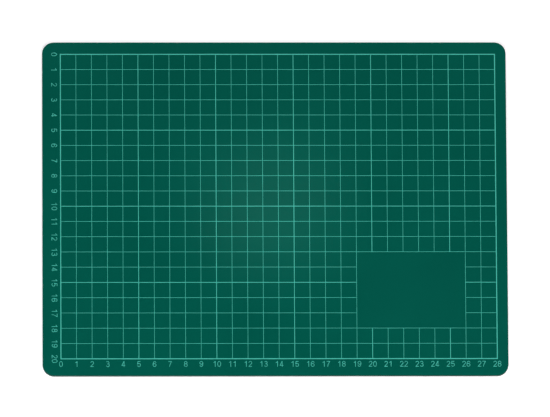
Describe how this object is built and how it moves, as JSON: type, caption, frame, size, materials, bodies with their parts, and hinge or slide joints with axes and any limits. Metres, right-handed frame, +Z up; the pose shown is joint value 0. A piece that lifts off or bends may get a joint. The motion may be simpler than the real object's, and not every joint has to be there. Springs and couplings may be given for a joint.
{
  "type": "cutting mat",
  "caption": "Flat laminated self-healing craft cutting mat with rounded corners and a printed centimetre grid on its working face.",
  "frame": {"origin": "middle of the underside, on the table", "axes": "+X along the long edge, +Y along the short edge towards the end where the side scale starts, +Z up out of the printed face"},
  "size_m": [0.299, 0.219, 0.003],
  "materials": {
    "soft_pvc": "finely grained matte green PVC",
    "hard_pvc": "dark die-cut PVC edge",
    "mint_ink": "flat pale green screen-print ink"
  },
  "bodies": {
    "root": {"bottom_sheet": "soft_pvc", "core_sheet": "hard_pvc", "top_sheet": "soft_pvc", "grid_print": "mint_ink"}
  },
  "joints": []
}
